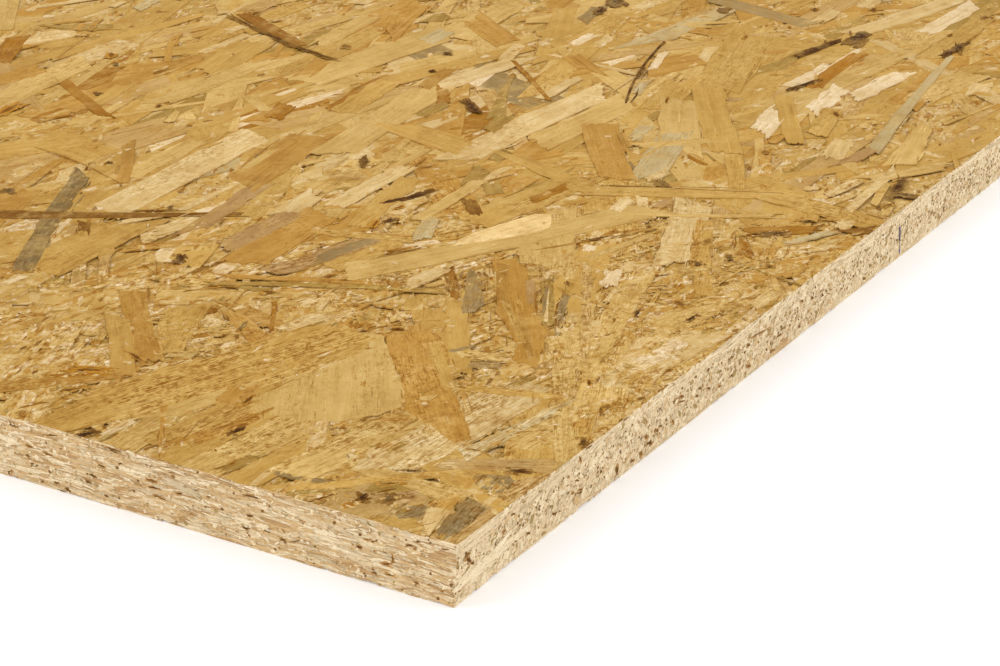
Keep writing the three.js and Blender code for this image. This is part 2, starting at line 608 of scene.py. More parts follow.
STRAND_AREA = 85 * 12  # the mean face of a whole strand, in square millimetres
SCRAP_AREA = 18 * 4.5  # the same of a broken one
GAP_SHADOW_SPACING = 10  # the length of a rough strand for each painted gap shadow that shows at its rim
HAIR_AREA = 30  # the face of a rough strand, in square millimetres, for each fibre that stands out
BIT_SPACING = 5  # the length and width of a rough strand for each torn bit at its rim
STREAK_AREA = 80  # the face of a smooth strand, in square millimetres, for each streak on it
WORN = (105, 0), (262, 48)  # two corners of the stretch where even the strands' own faces are torn
CRUMBS = 20  # how many crumbs lie in a cluster
RAGGED_STEP = 2.5  # how far apart the corners are that roughen a listed outline
SMOOTH = 0.5  # the roughness under which a listed strand has streaks instead of fibres and bits
STACK_RISE = 0.0012  # how much the rank rises from a strand to what lies on it
PALE_FROM = 0.5  # how light the tone is, from which a hollow is a cluster of pale chips instead


def grain_angles(rng, count, spread):
    """Face strands lie along the board, give or take; a few lie any way."""
    angles = rng.normal(0, spread, count) * rng.uniform(0.4, 1.4, count)
    stray = rng.random(count) < 0.08
    return np.where(stray, rng.uniform(-math.pi / 2, math.pi / 2, count), angles)


def strewn(rng, window, per_area, mean_area):
    """How many flakes of that mean area cover a window so many times over, and where they lie."""
    (a0, b0), (a1, b1) = window
    count = int(per_area * (a1 - a0) * (b1 - b0) / mean_area)
    return count, rng.uniform((a0, b0), (a1, b1), (count, 2))


def lay_strands(mesh, rng, window, coverage, steps, teeth, ranks):
    """Covers a window of the face with whole strands, from the lowest rank to the highest."""
    count, middles = strewn(rng, window, coverage, STRAND_AREA)
    lengths = rng.uniform(45, 125, count)
    widths = rng.gamma(5, 2.0, count) + 2
    end_widths = widths * rng.uniform(0.2, 1.2, count)
    torn = rng.choice((0.6, 1.5, 4.0), count)
    outlines = strand_outlines(rng, lengths, widths, end_widths, steps, teeth, torn)
    tones = drawn(rng, FACE_TONES, count) * rng.uniform(0.94, 1.05, (count, 1))
    mesh.lay(outlines, middles, grain_angles(rng, count, 0.42), np.linspace(*ranks, count), tones,
             rng, STRAND_CUT)


def in_view(middles):
    """Which of the middles lie where the top is seen close up, a wedge from the near corner."""
    a, b = middles.T
    return (b < 150 + 0.75 * a) & (a + 0.83 * b < 660) & (b > 0.33 * (a - 420))


def on_rough(rng, middles):
    """Which of the middles to keep so that bits lie thickest where the top is rough."""
    return in_view(middles) & (rng.random(len(middles)) < roughness(TOP, middles) ** 2)


def lay_scraps(mesh, rng, window, coverage, ranks):
    """Broken pieces of strands, which fill what lies between the whole ones."""
    _, middles = strewn(rng, window, coverage, SCRAP_AREA)
    middles = middles[on_rough(rng, middles)]
    count = len(middles)
    lengths, widths = 5 + rng.gamma(2, 6.5, count), 1.5 + rng.gamma(2, 1.5, count)
    end_widths = widths * rng.uniform(0.4, 1.2, count)
    torn = np.minimum(widths * 0.4, 2.0)
    outlines = strand_outlines(rng, lengths, widths, end_widths, 3, 1, torn)
    heights = np.linspace(*ranks, count) + 0.15 * roughness(TOP, middles)
    mesh.lay(outlines, middles, grain_angles(rng, count, 0.55), heights,
             drawn(rng, SCRAP_TONES, count), rng, STRAND_CUT)


def lay_slivers(mesh, rng, window, density, steps, ranks, tones=SLIVER_TONES, widths=(0.4, 1.3)):
    """Scatters thin splinters; density is how many lie on each square decimetre."""
    count, middles = strewn(rng, window, density, SQUARE_DM)
    lengths, widths = 8 + rng.gamma(1.5, 8, count), rng.uniform(*widths, count)
    mesh.lay(splinter_outlines(rng, lengths, widths, steps), middles, grain_angles(rng, count, 0.4),
             rng.uniform(*ranks, count), drawn(rng, tones, count), rng, SLIVER_CUT)


def lay_fibres(mesh, rng, window, density, tones, spread, cut, ranks):
    """Scatters short torn fibres along the grain, give or take spread; density is as for slivers."""
    count, middles = strewn(rng, window, density, SQUARE_DM)
    lengths, widths = 1.2 + rng.gamma(2, 1.5, count), rng.uniform(0.25, 0.7, count)
    mesh.lay(splinter_outlines(rng, lengths, widths, 3), middles, rng.normal(0, spread, count),
             rng.uniform(*ranks, count), drawn(rng, tones, count), rng, cut)


def lay_crumbs(mesh, rng, window, density, ranks):
    """Scatters torn crumbs in clusters; density is as for slivers."""
    _, centres = strewn(rng, window, density / CRUMBS, SQUARE_DM)
    centres = centres[on_rough(rng, centres)]
    clusters, count = len(centres), len(centres) * CRUMBS
    spread = np.repeat(rng.uniform(1.5, 8, (clusters, 1)), CRUMBS, 0)
    middles = np.repeat(centres, CRUMBS, 0) + rng.normal(0, 1, (count, 2)) * spread
    angles = np.repeat(grain_angles(rng, clusters, 0.5), CRUMBS)
    lay_bits(mesh, rng, middles, angles, 0.35, rng.uniform(*ranks, count), drawn(rng, CHIP_TONES, count))


def tile_core(mesh, on, window):
    """The slab under a tile's flakes, from the board's mid plane to just under the face."""
    inner = EDGE_DEPTH + 0.4
    low = np.maximum(window[0], inner)
    high = np.minimum(window[1], (on.length - inner, on.height - inner))
    mesh.add_block((*low, -THICKNESS / 2), (*high, -FACE_DEPTH - BLOCK_GAP), HONEY * 0.8, torn=1.0)


# The strands that show most at the near corner, chosen and placed one by one, from the lowest to the
# highest. Each has its tone, the two ends of its middle line in millimetres from the corner, its
# width there, and its width at the far end where that differs. A strand with a shape of its own has
# its outline instead of those widths.
NEAR_STRANDS = [
    # the far left
    (HONEY, (96, 200), (146, 201), 17), (AMBER, (98, 232), (152, 247), 12),
    (STRAW, (180, 227), (230, 229), 8), (PALE, (151, 213), (248, 217), 14),
    (GREY * 0.85, (92, 203), (178, 241), 6.5), (UMBER, (127, 240), (176, 177), 8, 2),
    (AMBER * 0.88, (177, 225), (213, 247), 4.5), (PALE, (146, 190), (159, 184), 7),
    (MAUVE, (153, 181), (202, 187), 7), (AMBER * 0.95, (200, 193), (258, 201), 15),
    (UMBER, (132, 208), (139, 213), 4), (STRAW, (214, 200), (238, 203), 3),
    (STRAW, (310, 237), (402, 226), 16), (HONEY, (298, 270), (342, 277), 14),
    (STRAW, (256, 264), (322, 262), 8), (PALE, (318, 286), (346, 285), 4),
    (STRAW, (356, 257), (402, 260), 8), (AMBER, (318, 240), (338, 244), 7),
    (RUST, (267, 222), (283, 226), 7), (RUST, (288, 212), (332, 216), 3),
    (HONEY, (288, 206), (332, 211), 9), (UMBER * 1.3, (373, 302), (349, 261), 7),
    (HONEY, (240, 281), (266, 285), 6), (RUST, (232, 270), (258, 308), 5),
    (STRAW, (214, 308), (282, 314), 12), (RUST, (262, 338), (292, 352), 8),
    (ASH, (351, 338), (367, 340), 5), (TAN, (378, 302), (398, 303), 8),
    (AMBER, (238, 325), (264, 321), 10), (AMBER, (300, 289), (332, 306), 3),
    # the far right
    (HONEY, (400, 108), (474, 126), 18), (CREAM, (398, 68), (433, 71), 8),
    (CREAM, (424, 62), (467, 58), 8), (CREAM, (420, 87), (458, 85), 7),
    (CREAM, (455, 84), (486, 84), 3), (RUST * 1.15, (425, 79), (480, 82), 6),
    (HONEY * 0.95, (490, 58), (562, 60), 9), (PALE, (505, 95), (580, 80), 10),
    (CREAM, (525, 72), (580, 70), 8), (GREY * 1.25, (505, 114), (517, 165), 11),
    (PALE, (514, 113), (533, 114), 6), (PALE, (544, 106), (561, 108), 8),
    (STRAW, (438, 41), (482, 35), 12), (PALE, (460, 26), (473, 28), 8),
    (GREY, (450, 190), (474, 194), 6), (PALE, (480, 180), (496, 180), 6),
    (CREAM, (418, 178), (436, 178), 5), (AMBER, (392, 158), (404, 172), 9),
    (ASH, (384, 225), (403, 226), 8), (AMBER, (404, 200), (425, 226), 13),
    (AMBER, (388, 245), (432, 256), 14),
    # beyond the pale strand
    (STRAW, (300, 133), (366, 129), 13), (PALE * 1.05, (268, 147), (370, 141), 13),
    (STRAW, (246, 185), (337, 194), 14), (HONEY, (279, 150), (287, 183), 15),
    (RUST, (320, 182), (338, 192), 5), (PALE, (240, 128), (271, 129), 3),
    (OLIVE, (248, 131), (265, 136), 7), (OLIVE, (274, 136), (285, 138), 5),
    (HONEY, (270, 104), (284, 136), 8), (OLIVE, (302, 153), (321, 156), 6),
    (OLIVE, (302, 182), (321, 181), 5), (STRAW, (240, 160), (271, 161), 3.4),
    (PALE, (348, 156), (378, 157), 5), (PALE, (338, 194), (388, 186), 9),
    (GINGER, (332, 197), (358, 200), 6), (ASH, (326, 107), (343, 110), 5),
    (ASH, (378, 131), (391, 134), 4), (HONEY, (362, 117), (402, 123), 12),
    (RUST, (348, 153), (384, 187), 2.2), (BARK, (362, 128), (445, 151), 1.0),
    (CREAM, (408, 139), (431, 145), 3.5),
    # the corner itself
    (HONEY, (28, -5), (50, 34), 20), (STRAW, (27, 4), (27, 48), 7), (TAN * 0.95, (-4, 3), (60, 0), 10),
    (HONEY, (50, 2), (110, 24), 22), (HONEY, (-3, 66), (42, 62), 10), (STRAW, (-5, 80), (60, 72), 13),
    (HONEY, (-2, 90), (46, 85), 9), (OLIVE, (4, 74), (18, 71), 4), (GREY, (11, 62), (14, 46), 3.4),
    (PALE, (0, 62), (14, 63), 2), (PALE, (20, 56), (48, 70), 5),
    (TAN * 0.8, (0, 30), (24, 30), [(-1, 41), (12, 42), (20, 37), (25, 30), (22, 21), (12, 15), (2, 15),
     (-1, 26)]),
    (HONEY * 0.95, (0, 22), (10, 16), [(-1, 30), (5, 25), (8, 17), (4, 12), (-1, 12)]),
    (RUST * 1.1, (3, 36), (10, 33), 3), (MAUVE * 0.9, (12, 29), (20, 24), 7),
    (GREY * 0.9, (6, 20), (16, 19), [(5, 20), (8, 24), (13, 23), (17, 20), (15, 15.5), (10, 16.5)]),
    (OLIVE, (16, 36), (24, 29), [(14, 36), (20, 37), (25, 33), (25, 26), (20, 27), (17, 32)]),
    (STRAW * 0.95, (26, 46), (24, 17), [(24, 46), (28, 46), (30, 37), (28, 26), (27, 17), (21, 18),
     (23, 28), (24, 36)]),
    (HONEY * 1.05, (27, -2), (38, 21), [(23, -1), (26, 6), (29, 12), (33, 18), (37, 22), (40, 17),
     (35, 11), (32, 6), (30, -1)]),
    (PALE, (2, 10), (17, 15), [(1, 9), (7, 14), (15, 17.5), (18, 14.5), (17, 11), (8, 9.5)]),
    (AMBER, (17, 14), (28, 15), 4),
    (GREY * 0.85, (0, 5), (27, 10), [(-1, 4.5), (4, 8), (9, 10), (18, 10), (21, 12), (27.5, 12.5),
     (26, 8), (24, 4), (12, 3.5), (4, 4)]),
    (GREY, (34, 10), (45, 12), [(34.5, 14), (38, 17), (42, 15.5), (45.5, 9), (43, 6.5), (34, 6),
     (33.5, 9)]),
    (TAN * 0.86, (40, 28), (60, -2), [(37, 26), (40, 29), (46, 27.5), (52, 18.5), (57, 11), (65, -2),
     (54, -2), (49.5, 8), (43, 18.5)]),
    (MAUVE * 1.1, (45, 20), (50, 12), 1.2),
    (HONEY * 1.05, (4, 56), (41, 21), [(2, 59), (9, 51.5), (14, 47), (22, 40.5), (32, 31), (42, 21.5),
     (39.5, 19.5), (31, 26.5), (21, 35.5), (12, 43), (5, 51)]),
    (OLIVE, (2, 52), (14, 38), 2), (UMBER, (-1, 45), (8, 42), 0.9),
    (STRAW, (33, 45), (43, 48), [(33, 44), (38, 50), (43, 49), (42, 44)]),
    # under the long orange strand
    (PALE * 0.96, (20, 40), (104, 33), [(25, 46), (29, 39), (34, 32), (48, 29), (70, 27), (92, 25),
     (105, 27), (107, 38), (90, 43), (64, 47), (42, 49)]),
    (STRAW, (12, 58), (68, 50), 13), (AMBER * 0.92, (59, 57), (63, 49), 5),
    (GREY, (31, 51), (35, 46), 3.5), (OLIVE, (40, 44), (48, 43), 2.4),
    (STRAW * 0.97, (44, 56), (108, 92), [(44, 74), (50, 64), (60, 58), (69, 56), (77, 59), (91, 70),
     (104, 80), (112, 87), (108, 96), (80, 104), (50, 108), (42, 92)]),
    (STRAW, (62, 17), (98, 13), 10), (STRAW, (62, 0), (128, 34), 7),
    (STRAW * 1.05, (100, 10), (150, 30), 14), (HONEY, (104, 62), (142, 84), 17),
    (AMBER, (58, 34), (118, 80), [(55, 32), (60.5, 28.5), (69, 34.5), (77, 41), (85, 48), (91, 52),
     (103, 59), (112, 64.5), (120, 71), (123, 77), (118, 84), (112, 85.5), (104, 81), (91, 70),
     (77, 59.5), (69, 55), (65.5, 51), (62.5, 44)]),
    (GINGER, (75, 72), (78, 73.5), 1.6), (ASH * 1.06, (50, 26), (104, 19), 6.5, 3),
    (PALE, (70, 23), (103, 20), 1.4), (OLIVE * 0.9, (54, 22.6), (67, 21.4), 0.6),
    (HONEY, (91, 48), (101, 21), 5), (STRAW, (100, 45), (130, 38), 4),
    (OLIVE, (101, 37), (109, 36), 3.4), (AMBER, (85, 8), (96, 12), 4), (STRAW, (92, 2), (98, 4), 4),
    (STRAW, (112, 62), (119, 46), 6), (TAN * 0.72, (107, 55), (111, 47), 5),
    (GREY, (112, 64), (120, 61), 2),
    # along the left edge
    (STRAW, (-2, 104), (26, 104), 10), (HONEY, (8, 98), (50, 93), 9), (HONEY, (40, 100), (58, 94), 7),
    (HONEY, (56, 97), (104, 88), 9), (STRAW, (24, 107), (60, 98), 8), (CREAM, (-3, 112), (18, 111), 3),
    (AMBER, (14, 155), (48, 130), 7), (HONEY, (62, 132), (98, 146), 12),
    (AMBER * 0.94, (56, 131), (98, 166), 8), (HONEY, (43, 132), (78, 158), 7),
    (AMBER, (86, 112), (101, 131), 7), (AMBER * 0.9, (99, 114), (107, 136), 6),
    (STRAW * 0.9, (62, 130), (67, 123), 4), (PALE, (98, 113), (116, 108), 5),
    (HONEY, (-5, 129), (110, 96), [(-3, 133), (18, 131), (30, 131), (51, 126), (62, 121), (73, 117),
     (91, 112), (100, 110), (109, 105.5), (110.5, 98), (108, 87), (91, 91), (69, 97), (50, 102.5),
     (40, 106.5), (23, 110), (12, 116.5), (-3, 123)]),
    (AMBER, (0, 90), (31, 110), 2), (AMBER, (12, 92), (40, 86), 6), (AMBER, (42, 96), (56, 99), 8),
    (HONEY, (88, 51), (116, 72), 4), (RUST, (95, 115), (116, 127), 1.4),
    (OLIVE, (118, 150), (123, 132), 3), (PALE, (118, 113), (132, 117), 3),
    (RUST * 1.1, (30, 147), (41, 136), 3), (RUST, (8, 141), (14, 138), 1.6),
    (RUST, (21, 91), (39, 85), 1.4),
    # the brown strand and the pale ones beside the right edge
    (PALE, (118, 10), (160, 18), 14), (PALE, (130, 12), (172, 8), 12),
    (STRAW, (162, 22), (204, 14), 11), (STRAW * 1.05, (120, 25), (205, 47), 9),
    (STRAW, (122, 30), (178, 53), 9), (HONEY, (160, 52), (216, 70), 15),
    (STRAW, (190, 72), (238, 96), 18),
    (GINGER * 1.06, (116, 42), (190, 88), [(116, 37), (129, 42.5), (142, 47), (150, 53.5), (167, 66.5),
     (178, 72), (187, 78), (192, 85), (186, 90), (171, 79), (158, 72), (150, 70), (138, 58), (129, 51),
     (117, 46)]),
    (GINGER * 0.95, (122, 43), (160, 67), 3), (HONEY * 0.95, (132, 51), (166, 77), 2.4),
    (GINGER * 0.95, (156, 70), (186, 86), 4), (STRAW, (126, 33), (141, 45), 6),
    (OLIVE, (148, 50), (182, 68), 4), (MAUVE, (160, 62), (178, 72), 3),
    (GREY, (142, 44), (176, 58), 1.5, 3), (PALE, (150, 52), (174, 64), 1.4),
    (UMBER, (148, 47.5), (168, 57), 0.8), (GREY * 0.9, (156, 56), (178, 66), 1.2),
    (UMBER * 1.2, (153, 56.5), (170, 66), 0.7), (UMBER * 1.3, (150, 83), (173, 98), 3),
    (GREY, (142, 76), (176, 92), [(141, 76), (145, 73.5), (152, 74), (161, 80), (170, 85), (176, 92),
     (172, 91), (158, 84), (148, 80)]),
    (PALE, (146, 44), (160, 47), 3), (CREAM, (190, 50), (201, 54), 5), (HONEY, (181, 58), (200, 62), 5),
    (CREAM, (213, 69), (218, 71), 4), (PALE, (205, 53), (216, 49), 6), (PALE, (220, 42), (278, 62), 13),
    (HONEY, (200, 22), (262, 50), 6), (RUST, (240, 26), (252, 33), 5),
    (AMBER, (222, 36), (262, 52), 2.4), (CREAM, (176, 2), (196, 3), 4), (PALE, (200, 6), (213, 5), 5),
    (OLIVE, (226, 2), (232, 24), 1.6), (AMBER, (230, 8), (252, 12), 8),
    (GINGER, (206, 82), (222, 73), 0.8), (UMBER * 0.8, (221, 74), (235, 65), 1.4),
    (GINGER, (234, 66), (245, 61), 1),
    # the middle of the view
    (AMBER, (138, 152), (192, 156), 15), (HONEY, (150, 128), (184, 124), 9),
    (STRAW, (150, 122), (262, 70), 13),
    (PALE * 1.2, (190, 105), (236, 94), [(189, 107), (202, 107.5), (211, 106), (220, 103), (234, 99),
     (236, 95), (231, 91), (223, 89), (212, 93), (202, 99), (195, 103)]),
    (ASH, (190, 118), (210, 125), 6),
    (MAUVE, (136, 143), (180, 131), [(136, 146), (141, 145), (150, 140.5), (166, 138), (176, 135),
     (182, 130.5), (180, 126.5), (171, 128), (160, 130), (141, 135), (136, 138)]),
    (GREY, (153, 135), (181, 130), 6, 4), (MAUVE, (146, 164), (188, 164), 8),
    (PALE, (185, 166), (206, 168), 8), (PALE, (200, 156), (250, 157), 7),
    (AMBER, (125, 150), (150, 103), 3.5), (OLIVE * 1.15, (119, 148), (153, 90), 3),
    (HONEY, (175, 150), (187, 119), 5), (PALE, (152, 101), (171, 99), 6),
    (HONEY * 0.96, (214, 112), (272, 104), 14), (UMBER, (221, 114), (233, 124), 5),
    (OLIVE, (243, 119), (253, 126), 6), (RUST, (172, 122), (182, 116), 1.6),
    (STRAW, (205, 128), (252, 130), 5), (HONEY, (188, 140), (240, 150), 8),
    # the right side, out to the grey strip
    (STRAW, (325, 88), (380, 114), 15), (ASH, (292, 86), (342, 98), 12),
    (AMBER * 0.95, (283, 92), (334, 125), 13), (HONEY, (333, 74), (400, 112), 12),
    (HONEY, (298, 55), (332, 71), 6), (STRAW, (320, 102), (342, 84), 6),
    (HONEY, (293, -6), (299, 42), 12), (HONEY, (262, 102), (307, 36), 9),
    (STRAW, (252, 76), (281, 34), 3), (UMBER, (275, 92), (304, 40), 0.8),
    (PALE, (351, 41), (372, 45), 8), (MAUVE, (350, 35), (371, 33), 5),
    (STRAW, (358, 18), (408, 27), 11, 6), (STRAW, (338, 21), (368, 5), 7),
    (PALE, (300, 15), (353, 18), 4), (PALE, (312, 27), (333, 24), 4), (CREAM, (363, 74), (389, 78), 9),
    (HONEY, (358, 58), (408, 84), 7), (HONEY, (372, 56), (404, 63), 8),
    (ASH, (259, 19), (279, 11), 3.4), (PALE, (283, 10), (292, 11), 5), (RUST, (261, 35), (277, 17), 7),
    (RUST, (240, 28), (259, 37), 2), (PALE, (253, 79), (266, 81), 5), (PALE, (262, 73), (271, 78), 4),
    (PALE, (288, 84), (301, 82), 4), (UMBER, (281, 7), (289, 1), 5), (RUST, (244, 106), (265, 103), 5),
    (ASH, (368, 32), (500, 51), 5.5, 2.5), (RUST, (316, 75), (320, 83), 2),
    (HONEY * 0.94, (176, 60), (170, 32), 2.2), (TAN, (200, 63), (128, 28.5), 3),
    (HONEY * 0.92, (194, 35), (133, 25), 1.8), (STRAW * 1.04, (186, 40), (196, 47), 5),
    (PALE, (176, 44), (188, 46), 3), (STRAW, (206, 44), (222, 30), 3), (PALE, (150, 36), (160, 40), 3),
    (STRAW * 0.95, (208, 66), (236, 60), 3), (BARK * 0.7, (459, 100), (492, 95), 2.2),
    (BARK * 0.7, (489, 91), (509, 92), 4.4, 2), (BARK * 0.8, (498, 53), (520, 53), 2.6),
    (BARK, (416, 86), (435, 81), 1.2),
]

# Where the face is torn to bits most, also placed one by one: the middle and the reach of each patch.
TORN_PATCHES = [
    ((7, 39), 7), ((14, 26), 5), ((4, 48), 4), ((20, 77), 8), ((36, 70), 7), ((70, 94), 6),
    ((25, 138), 7), ((80, 137), 13), ((92, 122), 7), ((118, 52), 7), ((105, 48), 6), ((75, 15), 9),
    ((110, 22), 9), ((130, 21), 12), ((152, 30), 10), ((166, 20), 12), ((190, 34), 12), ((178, 10), 10),
    ((186, 56), 8), ((206, 58), 9), ((230, 20), 11), ((128, 78), 8), ((128, 112), 10), ((158, 112), 9),
    ((196, 133), 8), ((240, 12), 9), ((264, 30), 9), ((300, 14), 9), ((200, 62), 8), ((216, 56), 8),
    ((228, 50), 7), ((188, 68), 6), ((172, 42), 9), ((150, 40), 6), ((214, 28), 9), ((250, 62), 9),
    ((270, 90), 8),
]

# The dark hollows between them, their dark painted shade, the bits of bark, and a few clusters of pale
# chips that are partly painted glints, in the same form.
NEAR_HOLLOWS = [
    (CREAM, (139, 13.5), (148, 11), 3.5), (CREAM, (149, 14), (158, 11), 4),
    (CREAM, (190, 50), (200, 54), 4), (BARK, (9, 33.5), (13.5, 35), 3), (BARK, (12, 28), (16.5, 29), 3),
    (UMBER, (20.5, 35), (24.5, 31), 1.8), (BARK, (48.5, 11), (50, 6), 2.5),
    (BARK, (74, 1), (78.5, 3.5), 2.8), (UMBER, (100, 9), (104, 8), 2.6),
    (UMBER, (112, 3), (115, 2.6), 1.6), (UMBER, (113, 19), (117, 21), 1.6),
    (BARK, (95.5, 52.7), (97.5, 52.4), 1.2), (BARK, (26, 84.5), (31, 83.5), 2),
    (UMBER, (44, 92.5), (51, 93.5), 1.8), (UMBER, (53, 132), (57, 139), 2),
    (RUST, (37, 145), (42, 137), 3), (UMBER, (22, 139), (28, 135), 2), (UMBER, (54, 27), (55, 23), 1),
    (BARK, (0, 117), (5, 115), 3), (UMBER, (116, 148), (120, 143), 2),
    (UMBER, (120, 134), (122, 131), 3), (BARK, (90, 123), (96, 125), 1.4),
    (BARK, (221, 34), (225, 36), 3.4), (BARK, (232, 28), (237, 30), 2), (BARK, (176, 17), (182, 17), 2),
    (BARK, (171, 32), (176, 33.5), 1.5), (UMBER, (186, 23), (190, 27), 2.6),
    (RUST, (200, 31), (204, 32), 2), (UMBER, (233, 16), (237, 15), 2),
    (BARK, (181, 60), (184, 62), 1.8), (BARK, (212, 145), (222, 141), 2.2),
    (BARK, (220, 141), (234, 138), 2.6), (BARK, (196, 135), (202, 134), 2.4),
    (RUST, (190, 136), (197, 138), 2.4), (RUST, (209, 139), (214, 138), 2),
    (BARK, (325, 8.5), (347, 12), 2.2), (BARK, (327, 9), (330, 1), 4.5), (UMBER, (312, 7), (317, 5), 2),
    (BARK, (261, 30), (268, 24), 3.6), (BARK, (281, 23), (284, 21), 2.4),
    (BARK, (285, 76), (290, 80), 3.6), (UMBER, (340, 62), (343, 64), 3),
    (UMBER, (396, 57), (402, 61), 3), (BARK, (317, 166), (328, 177), 4),
    (BARK, (240, 169), (250, 174), 2.4), (BARK, (350, 204), (354, 205), 3.2),
    (UMBER, (371, 116), (378, 118), 1.6), (BARK, (415, 86), (436, 81), 2.2),
    (BARK, (459, 100), (492, 96), 3), (BARK, (488, 89), (511, 92), 7), (BARK, (496, 53), (521, 53), 4),
    (UMBER, (540, 100), (546, 102), 3), (UMBER, (525, 120), (530, 122), 3),
    (UMBER, (558, 59), (566, 60), 3), (UMBER, (525, 61), (530, 62), 2),
    (RUST, (468, 127), (474, 128), 2), (BARK, (462, 190), (472, 192), 4),
    (BARK, (477, 190), (489, 193), 8), (BARK, (498, 150), (506, 152), 4),
    (BARK, (126, 169), (132, 171), 3), (BARK, (146, 248), (150, 251), 4),
    (BARK, (165, 198), (168, 199), 1.4), (UMBER, (181, 205), (185, 205), 1.2),
    (BARK, (190, 240), (192, 240), 1.5), (UMBER * 0.7, (366, 304), (354, 280), 2),
    (UMBER * 0.6, (355, 282), (346, 262), 2.6), (UMBER * 0.6, (347, 264), (341, 241), 2.4),
    (UMBER, (356, 245), (361, 248), 4), (BARK, (374, 211), (378, 211), 2.8),
    (BARK, (249, 286), (253, 287), 3), (UMBER, (251, 261), (255, 262), 1.6),
    (UMBER, (371, 297), (378, 298), 3), (RUST, (290, 308), (296, 312), 4),
    (RUST, (315, 335), (322, 338), 3), (BARK, (283, 301), (287, 303), 2),
    (RUST, (210, 300), (225, 302), 4),
]


def placed(rng, row):
    """The outline, middle, angle and tone of one listed strand, each as an array of one."""
    start, end = (np.array(v, float) for v in row[1:3])
    middle, along = (start + end) / 2, end - start
    angle = math.atan2(along[1], along[0])
    if isinstance(row[3], list):
        outline = ragged_outline(rng, np.array(row[3], float) - middle, angle)
    else:
        length, widths = np.linalg.norm(along)[None], np.array([row[3], row[-1]], float)
        torn = np.minimum(0.12 * widths.min(keepdims=True), 1.0) / roughness(TOP, middle[None]) ** 0.5
        outline = strand_outlines(rng, length, widths[:1], widths[1:], 10, 7, torn)
    return outline, middle[None], np.array([angle]), row[0][None] * rng.uniform(0.97, 1.03)


def ragged_outline(rng, points, angle):
    """An outline of given corners about its middle, roughened between them and turned to its grain."""
    if np.cross(points, np.roll(points, -1, 0)).sum() < 0:
        points = points[::-1]
    sides = np.roll(points, -1, 0) - points
    counts = np.maximum(np.linalg.norm(sides, axis=1) // RAGGED_STEP, 1).astype(int)
    steps = []
    for start, side, count in zip(points, sides, counts):
        steps += [start + side * (k / count) for k in range(count)]
    rough = np.array(steps) + rng.normal(0, 0.22, (len(steps), 2))
    return (rough @ axes(angle).T)[None]


def lay_near(mesh, rng, rows, ranks):
    """Lays the listed strands, each with its painted gap shadows, fibres and bits where it is rough, or
    its streaks.
    """
    for row, rank in zip(rows, np.linspace(*ranks, len(rows))):
        outline, middle, angle, tone = placed(rng, row)
        size = np.ptp(outline[0], 0)
        # The faces of large strands are torn less than those of small ones.
        torn = np.clip(0.45 - size.prod() / 1500, 0.08, 0.35)
        worn = 0.5 * (WORN[0] < middle[0]).all() * (middle[0] < WORN[1]).all()
        cut = STRAND_CUT._replace(torn=torn + worn)
        mesh.lay(outline, middle, angle, np.array([rank]), tone, rng, cut)
        if roughness(TOP, middle)[0] < SMOOTH:
            lay_streaks(mesh, rng, middle, angle, size, rank, tone)
        else:
            lay_gap_shadows(mesh, rng, outline[0], middle, angle, rank, tone)
            lay_hairs(mesh, rng, middle, angle, size, rank, tone)
            lay_rim_bits(mesh, rng, outline[0], middle, angle, rank, tone)


def lay_gap_shadows(mesh, rng, outline, middle, angle, rank, tone):
    """Lays painted gap shadows: thin dark splinters just under a strand, which show at its rim as shadow
    lines.
    """
    count = int(np.ptp(outline[:, 0]) / GAP_SHADOW_SPACING)
    corners = outline[rng.integers(0, len(outline), count)] * (0.85, 1)
    gap_shadows = splinter_outlines(rng, 3 + rng.gamma(2, 2.5, count), rng.uniform(0.4, 1.1, count), 4)
    mesh.lay(gap_shadows, middle + corners @ axes(angle[0]), angle + rng.normal(0, 0.06, count),
             stacked(rank, -STACK_RISE, count),
             deepened(tone, rng.uniform(0.6, 0.9, count)), rng, GAP_SHADOW_CUT)


def lay_hairs(mesh, rng, middle, angle, size, rank, tone):
    """Lays short fibres on a strand, along its grain, some of them at its two sides."""
    length, width = size
    count = int(length * width / HAIR_AREA)
    along, across = rng.uniform(-0.46, 0.46, count) * length, side_by_side(rng, count) * width
    beside = rng.random(count) < 0.25
    across = np.where(beside, np.sign(across) * (0.46 * width + rng.normal(0, 0.2, count)), across)
    lengths = np.minimum(2 + rng.gamma(2, 2.5, count), 0.5 * length)
    hairs = splinter_outlines(rng, lengths, rng.uniform(0.2, 0.55, count), 3)
    dark = rng.random(count) < 0.55
    shades = np.where(dark, rng.uniform(0.55, 0.9, count), rng.uniform(1.02, 1.2, count))
    mesh.lay(hairs, middle + np.column_stack([along, across]) @ axes(angle[0]),
             angle + rng.normal(0, 0.03, count), stacked(rank, STACK_RISE, count),
             deepened(tone, shades), rng, HAIR_CUT)


def lay_rim_bits(mesh, rng, outline, middle, angle, rank, tone):
    """Lays torn bits at a strand's rim, of about its own tone."""
    count = int(np.ptp(outline, 0).sum() / BIT_SPACING)
    corners = outline[rng.integers(0, len(outline), count)]
    middles = middle + corners @ axes(angle[0]) + rng.normal(0, 0.5, (count, 2))
    ranks = rng.uniform(rank, rank + 0.004, count)
    lay_bits(mesh, rng, middles, angle, 0.35, ranks, (drawn(rng, CHIP_TONES, count) + tone) / 2)


def stacked(rank, rise, count):
    """Ranks for what lies on a strand, or under it, that differ enough for no two faces to coincide."""
    return rank + rise * np.linspace(0.2, 1, count)


def side_by_side(rng, count):
    """Places across a strand, from -0.5 to 0.5 of its width, in any order, but no two alike."""
    return (rng.permutation(count) + rng.uniform(0.3, 0.7, count)) / max(count, 1) - 0.5


